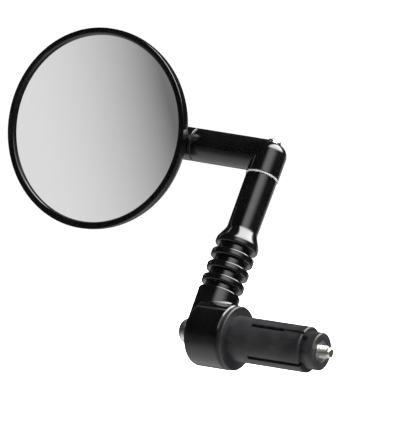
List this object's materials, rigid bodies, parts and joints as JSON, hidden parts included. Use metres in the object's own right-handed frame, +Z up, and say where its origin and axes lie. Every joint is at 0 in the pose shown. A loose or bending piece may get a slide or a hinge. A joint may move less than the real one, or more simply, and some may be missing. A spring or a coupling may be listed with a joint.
{
  "type": "handlebar end mirror",
  "caption": "Round convex bicycle mirror on a jointed ribbed post, held in the end of a handlebar by an expander plug.",
  "frame": {"origin": "centre of the expander plug's seat, where the plug's flange meets the end of the handlebar", "axes": "+X along the handlebar towards its middle, the way the plug goes in; +Z up; -Y towards the rider, the way the glass faces"},
  "size_m": [0.1686, 0.049, 0.1259],
  "materials": {
    "gloss_black": "glossy black moulded plastic",
    "satin_black": "satin black moulded plastic",
    "mirror_silver": "silvered convex glass",
    "black_rubber": "soft black foam rubber",
    "zinc_steel": "bright zinc plated steel",
    "stainless": "polished stainless steel",
    "brass": "machined brass",
    "white_nylon": "pale nylon bearing washer"
  },
  "bodies": {
    "bar_plug": {"expander_sleeve": "satin_black"},
    "cone": {"wedge_cone": "satin_black", "wedge_nut": "zinc_steel"},
    "bolt": {"mount_bolt": "zinc_steel"},
    "post": {"base_washer": "satin_black", "bolt_washer": "zinc_steel", "ribbed_post": "gloss_black", "swivel_washer": "white_nylon", "post_insert": "brass", "elbow_screw": "stainless", "elbow_spring_washer": "stainless"},
    "swing_arm": {"elbow_arm": "gloss_black", "elbow_flat_washer": "stainless", "arm_insert": "brass", "head_washer": "satin_black", "head_screw": "stainless", "head_spring_washer": "stainless"},
    "mirror_head": {"head_shell": "gloss_black", "head_bezel": "gloss_black", "mirror_glass": "mirror_silver", "glass_gasket": "black_rubber", "head_flat_washer": "stainless"}
  },
  "joints": [
    {"name": "bar_turn", "type": "hinge", "parent": "bar_plug", "child": "post", "pos_m": [0, 0, 0], "axis": [1, 0, 0], "continuous": true},
    {"name": "elbow_turn", "type": "hinge", "parent": "post", "child": "swing_arm", "pos_m": [-0.01515, 0.0297, 0.07066], "axis": [0, 0.3875, 0.9219], "continuous": true},
    {"name": "head_tilt", "type": "hinge", "parent": "swing_arm", "child": "mirror_head", "pos_m": [-0.01515, 0.0297, 0.07066], "axis": [-0.9965, -0.0771, 0.0324], "continuous": true},
    {"name": "bolt_turn", "type": "hinge", "parent": "bar_plug", "child": "bolt", "pos_m": [0, 0, 0], "axis": [-1, 0, 0], "range_deg": [0, 1080]},
    {"name": "cone_slide", "type": "slide", "parent": "bar_plug", "child": "cone", "axis": [1, 0, 0], "range_m": [0, 0.0024]}
  ],
  "couplings": [
    {"joint": "cone_slide", "follows": "bolt_turn", "m_per_rad": 0.00012732}
  ]
}
